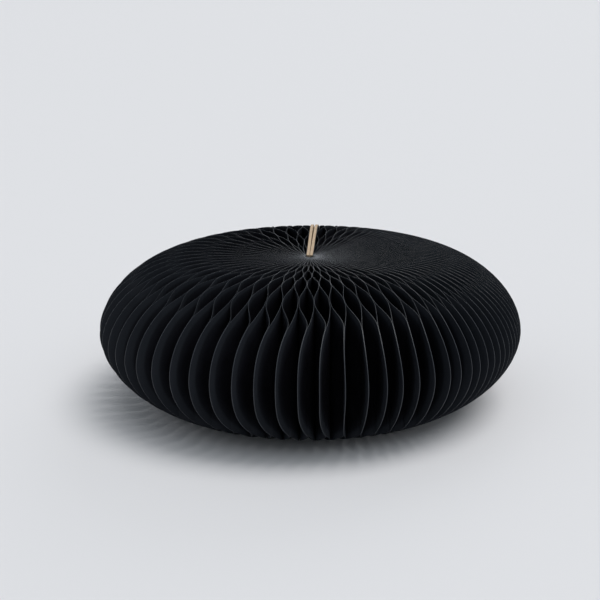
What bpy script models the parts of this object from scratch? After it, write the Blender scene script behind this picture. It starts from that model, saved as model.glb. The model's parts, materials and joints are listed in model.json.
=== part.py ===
"""Fan-folded honeycomb paper ornament: two board covers, lining papers, leaf bundles on a glued spine, magnets."""
import math

import bpy
from mathutils import Matrix, Vector

# one leaf: how far it reaches from its fold line, and its height at the spine and at the crest, metres
LEAF_REACH = 0.1441
CREST_REACH = 0.0745
SPINE_HEIGHT = 0.0980
CREST_HEIGHT = 0.1050
RIM_POWER = 1.85
REST_FLAT = 0.008

# the stack of pieces on each side of the seam
SEAM_GAP = 0.0003
BOARD_THICKNESS = 0.0020
GLUE_GAP = 0.0001
LINING_THICKNESS = 0.0002
SPINE_GAP = 0.00015
LINING_INSET = 0.0006

# each cover leans this far away from the seam when the fan is open, so the seam gapes toward the rim
COVER_LEAN_DEGREES = 0.35

# the fan: one slab stands for a bundle of four leaves; mean pitch of the bundles on the spine
BUNDLE_THICKNESS = 0.00040
BUNDLE_PITCH = 0.00092

# how far the folds open, degrees, from the left cover round the front to the right cover, as runs of
# (folds in the run, its first fold, its last fold): the fan is spread wide at the back left and held
# tight on the right
FOLD_RUNS = (
    (3, 16.4, 16.4),
    (6, 15.4, 11.8),
    (3, 12.9, 11.9),
    (5, 10.7, 9.1),
    (4, 7.0, 6.0),
    (13, 5.9, 5.7),
    (4, 6.4, 14.0),
)

# closing magnets, set through the boards
MAGNET_RADIUS = 0.0040
MAGNET_THICKNESS = 0.0016
MAGNET_CLEARANCE = 0.0003
MAGNET_REACH = 0.128
MAGNET_HEIGHT = 0.024

# outline drawing
RIM_STEPS = 22
DISH_STEPS = 7
HOLE_STEPS = 24

NAME = "accordion_paper_lantern"

BLACK_PAPER = ((0.012, 0.014, 0.017), 0.62)
KRAFT_BOARD = ((0.55, 0.42, 0.29), 0.80)
NICKEL = ((0.62, 0.60, 0.56), 0.28)

for stale in list(bpy.data.objects):
    bpy.data.objects.remove(stale, do_unlink=True)
for stale in list(bpy.data.collections):
    bpy.data.collections.remove(stale)

home = bpy.data.collections.new(NAME)
bpy.context.scene.collection.children.link(home)


def make_material(name, colour, roughness, metallic=0.0):
    material = bpy.data.materials.new(name)
    material.use_nodes = True
    shader = material.node_tree.nodes["Principled BSDF"]
    shader.inputs["Base Color"].default_value = (*colour, 1.0)
    shader.inputs["Roughness"].default_value = roughness
    shader.inputs["Metallic"].default_value = metallic
    material.diffuse_color = (*colour, 1.0)
    return material


paper = make_material("black_paper", *BLACK_PAPER)
board = make_material("kraft_board", *KRAFT_BOARD)
nickel = make_material("nickel_plate", *NICKEL, metallic=1.0)


def height_at(reach):
    """Half height of a leaf at a distance from the spine, on the dished part inside the crest."""
    turn = 0.5 - 0.5 * math.cos(math.pi * min(reach / CREST_REACH, 1.0))
    return 0.5 * (SPINE_HEIGHT + (CREST_HEIGHT - SPINE_HEIGHT) * turn)


def half_outline(inset):
    """Upper half of a leaf's outline, from the spine over the crest to the rim, as (reach, height) pairs."""
    crest = CREST_REACH
    flat = 0.5 * REST_FLAT
    top = []
    for i in range(DISH_STEPS + 1):
        reach = (crest - flat) * i / DISH_STEPS
        high = height_at(reach * crest / (crest - flat))
        top.append((reach, high - inset))
    for i in range(RIM_STEPS):
        turn = 0.5 * math.pi * i / RIM_STEPS
        reach = crest + flat + (LEAF_REACH - crest - flat) * math.sin(turn) ** (2.0 / RIM_POWER)
        high = 0.5 * CREST_HEIGHT * math.cos(turn) ** (2.0 / RIM_POWER)
        shift = inset * math.sin(turn)
        drop = inset * math.cos(turn)
        top.append((reach - shift, high - drop))
    return top


def outline(inset):
    """Closed outline of one leaf: flat spine edge, dished top and bottom, rounded rim."""
    top = half_outline(inset)
    rim = [(LEAF_REACH - inset, 0.0)]
    bottom = [(reach, -high) for reach, high in reversed(top)]
    return top + rim + bottom


def circle(centre, radius):
    points = []
    for i in range(HOLE_STEPS):
        turn = 2.0 * math.pi * i / HOLE_STEPS
        points.append((centre[0] + radius * math.cos(turn), centre[1] + radius * math.sin(turn)))
    return points


def add_loop(curve, points):
    spline = curve.splines.new("POLY")
    spline.points.add(len(points) - 1)
    for point, (x, y) in zip(spline.points, points):
        point.co = (x, y, 0.0, 1.0)
    spline.use_cyclic_u = True


def flat_curve(name, loops, thickness, material):
    """A flat plate drawn as closed loops, centred on its own plane."""
    curve = bpy.data.curves.new(name, "CURVE")
    curve.dimensions = "2D"
    curve.fill_mode = "BOTH"
    curve.extrude = 0.5 * thickness
    for points in loops:
        add_loop(curve, points)
    curve.materials.append(material)
    return curve


magnet_seats = {"bottom": (MAGNET_REACH, -MAGNET_HEIGHT), "top": (MAGNET_REACH, MAGNET_HEIGHT)}
hole_loops = [circle(seat, MAGNET_RADIUS + MAGNET_CLEARANCE) for seat in magnet_seats.values()]

leaf_shape = flat_curve("leaf_outline", [outline(0.0)], BUNDLE_THICKNESS, paper)
lining_shape = flat_curve("lining_outline", [outline(LINING_INSET)], LINING_THICKNESS, paper)
board_shape = flat_curve("board_outline", [outline(0.0)] + hole_loops, BOARD_THICKNESS, board)
magnet_shape = flat_curve("magnet_outline", [circle((0.0, 0.0), MAGNET_RADIUS)], MAGNET_THICKNESS, nickel)


def place(origin, turn, side):
    """Frame of a leaf: x outward from the spine, y up, z across it, standing at the origin and turned about +Z."""
    out = Vector((-math.sin(turn), math.cos(turn), 0.0))
    up = Vector((0.0, 0.0, 1.0))
    across = out.cross(up)
    matrix = Matrix((out, up, across)).transposed().to_4x4()
    matrix.translation = origin - across * side
    return matrix


def along(turn):
    """Direction in which the spine loop runs where a leaf has turned this far."""
    return Vector((-math.cos(turn), -math.sin(turn), 0.0))


def fold_shares():
    """How far each fold opens, radians; together one full turn less the lean of both covers."""
    opens = []
    for count, first, last in FOLD_RUNS:
        for i in range(count):
            opens.append(first + (last - first) * i / (count - 1))
    whole = sum(opens)
    return [(2.0 * math.pi - 2.0 * lean) * share / whole for share in opens]


FOLDS = sum(count for count, first, last in FOLD_RUNS)
lean = math.radians(COVER_LEAN_DEGREES)
shares = fold_shares()
turns = [lean + sum(shares[:k]) for k in range(FOLDS + 1)]

stack = BOARD_THICKNESS + GLUE_GAP + LINING_THICKNESS + SPINE_GAP
span = SEAM_GAP + 2.0 * stack


def spine_pitches():
    """Lengths of the sides of the spine loop, one for each bundle, such that the loop closes on the two covers."""
    cc = sum(math.cos(turns[k]) ** 2 for k in range(1, FOLDS))
    ss = sum(math.sin(turns[k]) ** 2 for k in range(1, FOLDS))
    cs = sum(math.cos(turns[k]) * math.sin(turns[k]) for k in range(1, FOLDS))
    across = span / BUNDLE_PITCH + sum(math.cos(turns[k]) for k in range(1, FOLDS))
    ahead = sum(math.sin(turns[k]) for k in range(1, FOLDS))
    whole = cc * ss - cs * cs
    sideways = (across * ss - ahead * cs) / whole
    forward = (ahead * cc - across * cs) / whole
    pitches = [0.0]
    for k in range(1, FOLDS):
        pitches.append(BUNDLE_PITCH * (1.0 - sideways * math.cos(turns[k]) - forward * math.sin(turns[k])))
    return pitches


pitches = spine_pitches()


def spine_points():
    """Fold lines, from the one behind the left lining paper round the front to the right one."""
    points = [Vector((-0.5 * span, 0.0, 0.5 * CREST_HEIGHT))]
    for k in range(1, FOLDS):
        points.append(points[-1] + along(turns[k]) * pitches[k])
    return points


folds = spine_points()
depth = max(p.y for p in folds) - min(p.y for p in folds)
lift = Vector((0.0, 0.5 * depth, 0.0))
folds = [p + lift for p in folds]


axis_at = {}


def hang(item, matrix, parent):
    """Place an object by its matrix in the shared frame, carried by a parent."""
    home.objects.link(item)
    item.matrix_basis = matrix
    if parent:
        item.parent = parent
        item.matrix_parent_inverse = Matrix.Translation(-axis_at[parent.name])
    return item


def add_axis(name, at, parent):
    """Empty on a fold line; it carries the next leaf or cover and the fold line after it."""
    empty = bpy.data.objects.new(name, None)
    empty.empty_display_size = 0.01
    axis_at[name] = at
    return hang(empty, Matrix.Translation(at), parent)


def add_piece(name, shape, matrix, parent):
    return hang(bpy.data.objects.new(name, shape), matrix, parent)


def add_cover(side, fold, turn, sign, parent):
    """Board, lining paper and two magnets of one cover; sign is +1 for the left one and -1 for the right one."""
    lining = SPINE_GAP + 0.5 * LINING_THICKNESS
    plate = SPINE_GAP + LINING_THICKNESS + GLUE_GAP + 0.5 * BOARD_THICKNESS
    magnet = SPINE_GAP + LINING_THICKNESS + GLUE_GAP + BOARD_THICKNESS - 0.5 * MAGNET_THICKNESS - 0.0001
    add_piece("cover_board_" + side, board_shape, place(fold, turn, -sign * plate), parent)
    add_piece("lining_paper_" + side, lining_shape, place(fold, turn, -sign * lining), parent)
    for level, (reach, high) in magnet_seats.items():
        seat = place(fold, turn, -sign * magnet) @ Matrix.Translation((reach, high, 0.0))
        add_piece("magnet_" + side + "_" + level, magnet_shape, seat, parent)


root = add_axis("cover_left_mount", Vector((0.0, 0.0, 0.0)), None)
add_cover("left", folds[0], turns[0], 1.0, root)

carrier = root
for k in range(1, FOLDS):
    carrier = add_axis("fold_axis_%02d" % k, folds[k - 1], carrier)
    middle_of_side = folds[k - 1] + along(turns[k]) * (0.5 * pitches[k])
    add_piece("leaf_bundle_%02d" % k, leaf_shape, place(middle_of_side, turns[k], 0.0), carrier)

carrier = add_axis("fold_axis_%02d" % FOLDS, folds[FOLDS - 1], carrier)
add_cover("right", folds[FOLDS - 1], turns[FOLDS], -1.0, carrier)

bpy.context.view_layer.update()
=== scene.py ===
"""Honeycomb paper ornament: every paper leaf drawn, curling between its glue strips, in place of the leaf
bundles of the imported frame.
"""
import json
import math

import bpy
import numpy as np
from mathutils import Matrix, Vector


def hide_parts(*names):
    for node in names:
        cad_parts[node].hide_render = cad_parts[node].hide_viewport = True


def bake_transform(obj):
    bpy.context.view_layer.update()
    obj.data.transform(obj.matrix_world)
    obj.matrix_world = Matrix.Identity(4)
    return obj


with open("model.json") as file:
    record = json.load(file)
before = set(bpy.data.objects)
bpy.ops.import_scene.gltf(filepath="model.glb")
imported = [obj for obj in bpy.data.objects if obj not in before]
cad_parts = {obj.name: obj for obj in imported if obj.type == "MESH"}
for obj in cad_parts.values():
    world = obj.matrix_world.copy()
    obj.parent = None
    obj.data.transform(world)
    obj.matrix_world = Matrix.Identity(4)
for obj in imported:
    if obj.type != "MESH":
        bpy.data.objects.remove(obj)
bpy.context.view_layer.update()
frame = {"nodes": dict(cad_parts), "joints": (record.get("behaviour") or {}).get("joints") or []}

# ---------------------------------------------------------------- sizes, metres
# outline of a leaf: how far it and its crest are from the fold line, its height at the spine and at the
# crest, the power of the rounded rim (2 would be an ellipse), and the middle of its height
LEAF_REACH = 0.1441
CREST_REACH = 0.0745
SPINE_HEIGHT = 0.0980
CREST_HEIGHT = 0.1050
RIM_POWER = 1.85
MIDDLE = 0.5 * CREST_HEIGHT

# four leaves stand in the wedge at each fold line; they start at the hub, side by side they take at most
# LEAF_FILL of the room between the halfway lines to the next folds, and a cover leaves only COVER_ROOM
LEAVES_PER_WEDGE = 4
LEAF_THICKNESS = 0.00017
LEAF_FILL = 0.92
HUB_RADIUS = 0.0009
COVER_ROOM = 0.0001

# a leaf stays between these shares of its wedge, and its last station is this low against the one before
SHARE_LIMITS = (0.01, 0.99)
RIM_TIP = 0.08

# glue strips, which change sides from one to the next: the distance between them, where the outermost one
# is, and a factor above 1 that lets a leaf lie flat on its neighbour along each strip
GLUE_PITCH = 0.0228
GLUE_FIRST = 0.1258
GLUE_HOLD = 1.08

# the flaps: their sideways set comes in between these two distances from the fold line, and outside the
# second one they are free
SET_FROM = 0.1040
FREE_FROM = 0.1200

# the sideways set, degrees, positive to the right: place of the flap round the fan from the front, then its
# set where it is glued and at the rim; in front the flaps curl left toward the rim, all but one at 18
# degrees, and toward both sides they are nearly straight
FLAP_SETS = (
    (-80, 1.2, 1.2),
    (-60, 1.7, 1.2),
    (-54, 1.2, 1.2),
    (-42, 0.5, -0.6),
    (-30, 0.5, -0.6),
    (-12, 0.8, -1.7),
    (5, 0.9, -2.1),
    (18, 0.5, 0.2),
    (24, 0.2, -1.3),
    (36, 0.2, -1.2),
    (50, -0.1, 0.1),
)

# how uneven one flap is against the next at the rim
PAIR_JITTER = math.radians(0.20)

# how finely a leaf is drawn: from its fold line to the rim, from the hub to the fold line, and in height
RADIAL_STEPS = 56
HUB_STEPS = 4
RISE_STEPS = 4

# ---------------------------------------------------------------- camera, lights and floor
CAMERA_DISTANCE = 0.900
CAMERA_ELEVATION = math.radians(17.0)
CAMERA_AZIMUTH = math.radians(2.6)
CAMERA_ROLL = math.radians(0.4)
CAMERA_LENS = 74.88
CAMERA_SENSOR = 36.0
CAMERA_CLIP = (0.05, 50.0)

# where the camera looks: this far left of the middle of the fan and above it
AIM_LEFT = 0.00678
AIM_UP = 0.01644

# each light: the direction it comes from, its strength, how wide it is in radians, and its colour
LIGHTS = {
    "overhead": ((0.34, -0.02, 0.94), 1.62, 0.6, (1.0, 0.985, 0.965)),
    "window": ((0.25, 0.85, 0.36), 0.50, 0.7, (1.0, 1.0, 1.0)),
    "right_fill": ((0.30, -0.45, 0.85), 0.60, 0.9, (0.92, 0.97, 1.0)),
    "left_fill": ((-0.45, -0.60, 0.66), 0.07, 0.9, (0.92, 0.97, 1.0)),
}
LIGHT_DISTANCE = 3.0
SKY_COLOUR = (0.86, 0.94, 1.0, 1.0)
SKY_STRENGTH = 0.36

FLOOR_HALF = 40.0
FLOOR_COLOUR = (0.728, 0.721, 0.738, 1.0)
FLOOR_ROUGH = 0.9
FLOOR_GLOSS = 0.2

# ---------------------------------------------------------------- colours and finishes
# broad sides of the leaves, their cut edges, and the linings of the covers; roughness is a range
PAPER_DARK = (0.0033, 0.0032, 0.0048)
PAPER_LIGHT = (0.0056, 0.0056, 0.0082)
PAPER_ROUGH = (0.42, 0.56)
PAPER_GLOSS = 0.12
# the cut edges are painted far paler than the black paper: a painted highlight where light catches them
EDGE_HIGHLIGHT_DARK = (0.036, 0.040, 0.050)
EDGE_HIGHLIGHT_LIGHT = (0.057, 0.064, 0.078)
EDGE_ROUGH = (0.40, 0.50)
EDGE_GLOSS = 0.5
LINING_ROUGH = (0.50, 0.64)

# painted light on the outer margin of a leaf, paler along the crest and the rim as where light reaches
# between the flaps and the tops of the walls: its colour, and how much of it shows at which nearness to the
# outline
LIT_MARGIN_PAINT = (0.033, 0.038, 0.047)
LIT_MARGIN_STEPS = ((0.80, 0.0), (0.95, 0.18), (1.0, 0.50))

KRAFT_LAYERS = ((0.28, (0.38, 0.268, 0.175)), (0.52, (0.49, 0.366, 0.252)), (0.78, (0.57, 0.450, 0.325)))
KRAFT_FLECKS = ((0.26, (0.34, 0.235, 0.15)), (0.34, (1.0, 1.0, 1.0)))
FLECK_SHARE = 0.7
KRAFT_ROUGH = 0.86
KRAFT_GLOSS = 0.25

NICKEL_STAIN = ((0.3, (0.56, 0.545, 0.51)), (0.8, (0.68, 0.665, 0.63)))
NICKEL_ROUGH = (0.24, 0.42)

# sockets of a colour mix node: its factor, its two colours and its result
MIX_FACTOR = 0
MIX_FIRST = 6
MIX_SECOND = 7
MIX_RESULT = 2


# ---------------------------------------------------------------- materials
def new_material(name):
    material = bpy.data.materials.new(name)
    material.use_nodes = True
    tree = material.node_tree
    shader = tree.nodes["Principled BSDF"]
    return material, tree, shader


def add_node(tree, kind, **values):
    node = tree.nodes.new(kind)
    for key, value in values.items():
        setattr(node, key, value)
    return node


def noise(tree, scale, detail, stretch=None):
    """Noise over object coordinates, with a scale for each axis where a stretch is given."""
    coords = add_node(tree, "ShaderNodeTexCoord")
    texture = add_node(tree, "ShaderNodeTexNoise")
    texture.inputs["Scale"].default_value = scale
    texture.inputs["Detail"].default_value = detail
    point = coords.outputs["Object"]
    if stretch:
        mapping = add_node(tree, "ShaderNodeMapping")
        mapping.inputs["Scale"].default_value = stretch
        tree.links.new(point, mapping.inputs["Vector"])
        point = mapping.outputs["Vector"]
    tree.links.new(point, texture.inputs["Vector"])
    return texture.outputs["Fac"]


def ramp(tree, source, stops):
    """Colour ramp; each stop is a place on it and a colour."""
    node = add_node(tree, "ShaderNodeValToRGB")
    while len(node.color_ramp.elements) < len(stops):
        node.color_ramp.elements.new(0.5)
    for element, (place, colour) in zip(node.color_ramp.elements, stops):
        element.position = place
        element.color = (*colour, 1.0)
    tree.links.new(source, node.inputs["Fac"])
    return node.outputs["Color"]


def grey(value):
    return (value, value, value)


def vary_roughness(tree, source, places, roughness, shader):
    """Roughness that runs from its low to its high value between two places of a texture."""
    stops = [(place, grey(value)) for place, value in zip(places, roughness)]
    tree.links.new(ramp(tree, source, stops), shader.inputs["Roughness"])


def bump(tree, source, strength, distance, shader):
    node = add_node(tree, "ShaderNodeBump")
    node.inputs["Strength"].default_value = strength
    node.inputs["Distance"].default_value = distance
    tree.links.new(source, node.inputs["Height"])
    tree.links.new(node.outputs["Normal"], shader.inputs["Normal"])


def arithmetic(tree, operation, first, second):
    """One sum on shader values; a number goes straight on its socket."""
    node = add_node(tree, "ShaderNodeMath", operation=operation)
    for socket, value in zip(node.inputs, (first, second)):
        if isinstance(value, (int, float)):
            socket.default_value = value
        else:
            tree.links.new(value, socket)
    return node.outputs["Value"]


def margin(tree):
    """How near the cut outline of its leaf a point is: 1 along the crest and the rim, less inside them."""
    coords = add_node(tree, "ShaderNodeTexCoord")
    parts = add_node(tree, "ShaderNodeSeparateXYZ")
    tree.links.new(coords.outputs["Object"], parts.inputs["Vector"])
    square_x = arithmetic(tree, "MULTIPLY", parts.outputs["X"], parts.outputs["X"])
    square_y = arithmetic(tree, "MULTIPLY", parts.outputs["Y"], parts.outputs["Y"])
    radius = arithmetic(tree, "SQRT", arithmetic(tree, "ADD", square_x, square_y), 0.0)
    beyond = arithmetic(tree, "MAXIMUM", arithmetic(tree, "SUBTRACT", radius, CREST_REACH), 0.0)
    run = arithmetic(tree, "POWER", arithmetic(tree, "DIVIDE", beyond, LEAF_REACH - CREST_REACH), RIM_POWER)
    high = arithmetic(tree, "ABSOLUTE", arithmetic(tree, "SUBTRACT", parts.outputs["Z"], MIDDLE), 0.0)
    rise = arithmetic(tree, "POWER", arithmetic(tree, "DIVIDE", high, MIDDLE), RIM_POWER)
    return arithmetic(tree, "ADD", run, rise)


def black_paper(name, dark, light, roughness, gloss):
    """Dyed black paper: mottled fibre, with painted light that makes it paler toward the cut outline of the
    leaf.
    """
    material, tree, shader = new_material(name)
    mottling = noise(tree, scale=90.0, detail=4.0)
    colour = ramp(tree, mottling, [(0.30, dark), (0.72, light)])
    # painted light: the outer margin of the leaf and the tops of its walls are made paler, as where light
    # falls between the flaps
    lit_margin = ramp(tree, margin(tree), [(place, grey(share)) for place, share in LIT_MARGIN_STEPS])
    mix = add_node(tree, "ShaderNodeMix", data_type="RGBA", blend_type="MIX")
    mix.inputs[MIX_SECOND].default_value = (*LIT_MARGIN_PAINT, 1.0)
    tree.links.new(lit_margin, mix.inputs[MIX_FACTOR])
    tree.links.new(colour, mix.inputs[MIX_FIRST])
    tree.links.new(mix.outputs[MIX_RESULT], shader.inputs["Base Color"])
    fibre = noise(tree, scale=1400.0, detail=3.0, stretch=(1.0, 1.0, 0.45))
    vary_roughness(tree, fibre, (0.25, 0.75), roughness, shader)
    bump(tree, fibre, strength=0.35, distance=0.00006, shader=shader)
    shader.inputs["Specular IOR Level"].default_value = gloss
    return material


def kraft_board(name):
    """Uncoated kraft board: flecks, and thin pressed layers that show on the cut edge."""
    material, tree, shader = new_material(name)
    layers = noise(tree, scale=1.0, detail=3.0, stretch=(4200.0, 130.0, 130.0))
    flecks = noise(tree, scale=900.0, detail=2.0)
    mix = add_node(tree, "ShaderNodeMix", data_type="RGBA", blend_type="MULTIPLY")
    mix.inputs[MIX_FACTOR].default_value = FLECK_SHARE
    tree.links.new(ramp(tree, layers, KRAFT_LAYERS), mix.inputs[MIX_FIRST])
    tree.links.new(ramp(tree, flecks, KRAFT_FLECKS), mix.inputs[MIX_SECOND])
    tree.links.new(mix.outputs[MIX_RESULT], shader.inputs["Base Color"])
    shader.inputs["Roughness"].default_value = KRAFT_ROUGH
    shader.inputs["Specular IOR Level"].default_value = KRAFT_GLOSS
    bump(tree, layers, strength=0.5, distance=0.00008, shader=shader)
    return material


def nickel_plate(name):
    """Plated magnet: fine scratches and a faint stain."""
    material, tree, shader = new_material(name)
    scratches = noise(tree, scale=700.0, detail=4.0, stretch=(0.2, 1.0, 1.0))
    stain = noise(tree, scale=160.0, detail=2.0)
    vary_roughness(tree, scratches, (0.3, 0.8), NICKEL_ROUGH, shader)
    tree.links.new(ramp(tree, stain, NICKEL_STAIN), shader.inputs["Base Color"])
    shader.inputs["Metallic"].default_value = 1.0
    bump(tree, scratches, strength=0.15, distance=0.00002, shader=shader)
    return material


paper = black_paper("black_paper", PAPER_DARK, PAPER_LIGHT, PAPER_ROUGH, PAPER_GLOSS)
# cut edges: the black paper painted pale, a painted highlight
cut_edge = black_paper("cut_edge_painted_highlight", EDGE_HIGHLIGHT_DARK, EDGE_HIGHLIGHT_LIGHT, EDGE_ROUGH, EDGE_GLOSS)
lining = black_paper("black_lining", PAPER_DARK, PAPER_LIGHT, LINING_ROUGH, PAPER_GLOSS)
board = kraft_board("kraft_board")
nickel = nickel_plate("nickel_plate")


# ---------------------------------------------------------------- the fan, read from the frame's joints
joints = frame["joints"]
hinges = [np.array(j["pos_m"][:2]) for j in joints]
shares = [math.radians(j["range_deg"][1]) for j in joints]

# turns are counted from the seam, which lies toward +Y; what the folds leave of a full turn is split
# evenly between the two sides of the seam
turns = [0.5 * (2.0 * math.pi - sum(shares))]
for share in shares:
    turns.append(turns[-1] + share)


def half_height(reach):
    """Half height of a leaf at distances from its fold line."""
    dish = 0.5 - 0.5 * np.cos(np.pi * np.clip(reach / CREST_REACH, 0.0, 1.0))
    inner = 0.5 * (SPINE_HEIGHT + (CREST_HEIGHT - SPINE_HEIGHT) * dish)
    run = np.clip((reach - CREST_REACH) / (LEAF_REACH - CREST_REACH), 0.0, 1.0)
    turn = np.arcsin(np.clip(run ** (0.5 * RIM_POWER), 0.0, 1.0))
    outer = 0.5 * CREST_HEIGHT * np.cos(turn) ** (2.0 / RIM_POWER)
    return np.where(reach < CREST_REACH, inner, outer)


def glue_wave(reach):
    """+1 on the strips where a leaf is glued to one neighbour, -1 where it is glued to the other."""
    phase = math.pi * (GLUE_FIRST - reach) / GLUE_PITCH
    wave = np.clip(GLUE_HOLD * np.cos(phase), -1.0, 1.0)
    return np.where(reach > GLUE_FIRST, 1.0, wave)


def reach_stations():
    """Distances from the fold line at which a leaf is drawn, closer together near the rim."""
    inner_steps = RADIAL_STEPS // 2
    t = np.linspace(0.0, 1.0, RADIAL_STEPS + 1)
    inner = CREST_REACH * t[:inner_steps] / t[inner_steps]
    s = np.linspace(0.0, 1.0, RADIAL_STEPS - inner_steps + 1)
    outer = CREST_REACH + (LEAF_REACH - CREST_REACH) * np.sin(0.5 * math.pi * s)
    return np.concatenate([inner, outer])


REACH = reach_stations()
RISE = np.sin(0.5 * math.pi * np.linspace(-1.0, 1.0, RISE_STEPS + 1))


def unevenness(pair):
    """Small difference between one pair of leaves and the next: sines whose periods don't fit together."""
    return math.sin(2.1 * pair + 2.0 * math.sin(0.9 * pair)) + 0.6 * math.sin(4.7 * pair)


def flap_shift(reach, bearing, pair):
    """Sideways set of one flap along its length, radians, for a flap at this bearing round the fan."""
    place = math.degrees(math.remainder(bearing - math.pi, 2.0 * math.pi))
    places, glued_sets, rim_sets = zip(*FLAP_SETS)
    glued = math.radians(float(np.interp(place, places, glued_sets)))
    rim = math.radians(float(np.interp(place, places, rim_sets)))
    rim += PAIR_JITTER * unevenness(pair)
    rise = np.clip((reach - SET_FROM) / (FREE_FROM - SET_FROM), 0.0, 1.0)
    free = np.clip((reach - FREE_FROM) / (LEAF_REACH - FREE_FROM), 0.0, 1.0)
    return glued * rise * rise * (3.0 - 2.0 * rise) + (rim - glued) * np.sin(0.5 * math.pi * free)


def leaf_path(wedge, index):
    """Stations along one leaf: reach from the fold line, share of the wedge's turn, and half height."""
    inward = np.linalg.norm(hinges[wedge]) - HUB_RADIUS
    reach = np.concatenate([np.linspace(-inward, 0.0, HUB_STEPS + 1)[:-1], REACH])
    base = (index + 0.5) / LEAVES_PER_WEDGE
    sign = 1.0 if index % 2 == 0 else -1.0
    weight = base + sign * glue_wave(reach) / (2.0 * LEAVES_PER_WEDGE)
    # the first two leaves of a wedge make one flap, and the last two the next
    pair = wedge * LEAVES_PER_WEDGE // 2 + index // 2
    middle = 0.25 if index < 2 else 0.75
    bearing = turns[wedge] + middle * shares[wedge]
    weight = weight + flap_shift(reach, bearing, pair) / shares[wedge]
    half = half_height(np.maximum(reach, 0.0))
    half[-1] = half[-2] * RIM_TIP
    return reach, np.clip(weight, *SHARE_LIMITS), half


def half_gap(first, second):
    """Half the distance between two fold lines; outside the last fold line there is only the cover's room."""
    if first < 0 or second >= len(hinges):
        return COVER_ROOM
    return 0.5 * np.linalg.norm(hinges[second] - hinges[first])


def sheet_faces(rows, cols):
    """Faces between two layers of points, both broad sides before the border, and how many are broad."""
    faces = []
    layer = rows * cols
    for i in range(rows - 1):
        for j in range(cols - 1):
            a = i * cols + j
            b = a + cols
            c = b + 1
            d = a + 1
            faces.append((a, b, c, d))
            faces.append((layer + d, layer + c, layer + b, layer + a))
    broad = len(faces)
    border = [i * cols for i in range(rows)]
    border += [(rows - 1) * cols + j for j in range(1, cols)]
    border += [i * cols + cols - 1 for i in range(rows - 2, -1, -1)]
    border += [j for j in range(cols - 2, 0, -1)]
    for a, b in zip(border, border[1:] + border[:1]):
        faces.append((b, a, layer + a, layer + b))
    return faces, broad


def leaf_mesh(name, wedge, index):
    """One paper leaf, ruled upright, curling between its glue strips, as a closed thin solid."""
    reach, weight, half = leaf_path(wedge, index)
    base = (index + 0.5) / LEAVES_PER_WEDGE
    before = half_gap(wedge - 1, wedge)
    after = half_gap(wedge, wedge + 1)
    side = base * (before + after) - before
    thickness = min(LEAF_THICKNESS, LEAF_FILL * (before + after) / LEAVES_PER_WEDGE)
    angle = turns[wedge] + weight * shares[wedge]
    out = np.stack([-np.sin(angle), np.cos(angle)], 1)
    along = np.stack([-np.cos(angle), -np.sin(angle)], 1)
    verts = []
    weights = []
    for face in (-0.5, 0.5):
        centre = hinges[wedge] + out * reach[:, None] + along * (side + face * thickness)
        for i in range(len(reach)):
            for rise in RISE:
                verts.append((centre[i, 0], centre[i, 1], MIDDLE + half[i] * rise))
                weights.append(weight[i])
    faces, broad = sheet_faces(len(reach), len(RISE))
    mesh = bpy.data.meshes.new(name)
    mesh.from_pydata(verts, [], faces)
    mesh.materials.append(paper)
    mesh.materials.append(cut_edge)
    mesh.polygons.foreach_set("material_index", [0] * broad + [1] * (len(faces) - broad))
    mesh.update()
    return mesh, weights


def add_leaf(wedge, index):
    """One leaf, added to the scene; the first leaf of each wedge after the first hides the frame's bundle
    there. The weights that leaf_mesh gives are not used.
    """
    name = "paper_leaf_%03d" % (wedge * LEAVES_PER_WEDGE + index + 1)
    mesh, weights = leaf_mesh(name, wedge, index)
    leaf = bpy.data.objects.new(name, mesh)
    bpy.context.scene.collection.objects.link(leaf)
    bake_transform(leaf)
    if index == 0 and wedge > 0:
        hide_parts("leaf_bundle_%02d" % wedge)


def finish_node(name, node):
    """Material and slot of a piece that is shown as the frame has it."""
    if name.startswith("cover_board"):
        finish = board
    elif name.startswith("magnet"):
        finish = nickel
    else:
        finish = lining
    for held in node.material_slots:
        held.material = finish


for wedge in range(len(joints)):
    for index in range(LEAVES_PER_WEDGE):
        add_leaf(wedge, index)

for name, node in frame["nodes"].items():
    if not name.startswith("leaf_bundle"):
        finish_node(name, node)


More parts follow.
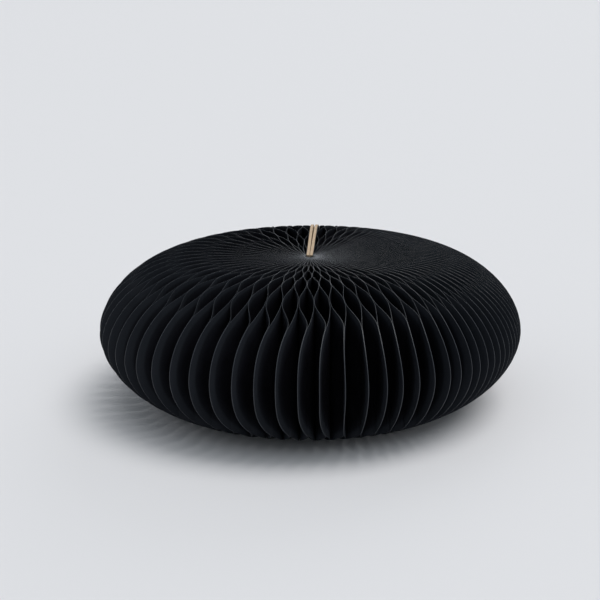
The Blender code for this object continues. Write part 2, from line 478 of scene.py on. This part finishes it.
# ---------------------------------------------------------------- floor, light, camera
def make_floor():
    mesh = bpy.data.meshes.new("floor")
    corners = [(-1, -1), (1, -1), (1, 1), (-1, 1)]
    mesh.from_pydata([(x * FLOOR_HALF, y * FLOOR_HALF, 0.0) for x, y in corners], [], [(0, 1, 2, 3)])
    floor = bpy.data.objects.new("floor", mesh)
    bpy.context.scene.collection.objects.link(floor)
    material, tree, shader = new_material("pale_floor")
    shader.inputs["Base Color"].default_value = FLOOR_COLOUR
    shader.inputs["Roughness"].default_value = FLOOR_ROUGH
    shader.inputs["Specular IOR Level"].default_value = FLOOR_GLOSS
    mesh.materials.append(material)


def far_light(name, direction, strength, width, colour):
    """A soft light far away in a direction from the object."""
    light = bpy.data.lights.new(name, "SUN")
    light.energy = strength
    light.angle = width
    light.color = colour
    lamp = bpy.data.objects.new(name, light)
    bpy.context.scene.collection.objects.link(lamp)
    lamp.location = Vector(direction) * LIGHT_DISTANCE
    lamp.rotation_euler = Vector(direction).to_track_quat("Z", "Y").to_euler()


def make_sky():
    world = bpy.data.worlds.new("studio")
    bpy.context.scene.world = world
    world.use_nodes = True
    background = world.node_tree.nodes["Background"]
    background.inputs["Color"].default_value = SKY_COLOUR
    background.inputs["Strength"].default_value = SKY_STRENGTH


def make_camera():
    """Camera in front of the fan and above it, turned a little about its line of sight."""
    data = bpy.data.cameras.new("camera")
    data.sensor_width = CAMERA_SENSOR
    data.lens = CAMERA_LENS
    data.clip_start, data.clip_end = CAMERA_CLIP
    camera = bpy.data.objects.new("camera", data)
    bpy.context.scene.collection.objects.link(camera)
    upright = Vector((0.0, 0.0, 1.0))
    centre = Vector((0.0, 0.0, MIDDLE))
    bearing = -0.5 * math.pi + CAMERA_AZIMUTH
    level = math.cos(CAMERA_ELEVATION)
    away = Vector((level * math.cos(bearing), level * math.sin(bearing), math.sin(CAMERA_ELEVATION)))
    camera.location = centre + away * CAMERA_DISTANCE
    right = away.cross(upright).normalized() * -1.0
    up = right.cross(-away).normalized()
    aim = centre - right * AIM_LEFT + up * AIM_UP
    look = (aim - camera.location).normalized()
    side = look.cross(upright).normalized()
    top = side.cross(look)
    roll = Matrix.Rotation(CAMERA_ROLL, 3, look)
    camera.rotation_euler = Matrix((roll @ side, roll @ top, -look)).transposed().to_euler()
    bpy.context.scene.camera = camera


make_floor()
for name, values in LIGHTS.items():
    far_light(name, *values)
make_sky()
make_camera()
bpy.context.scene.view_settings.view_transform = "Standard"
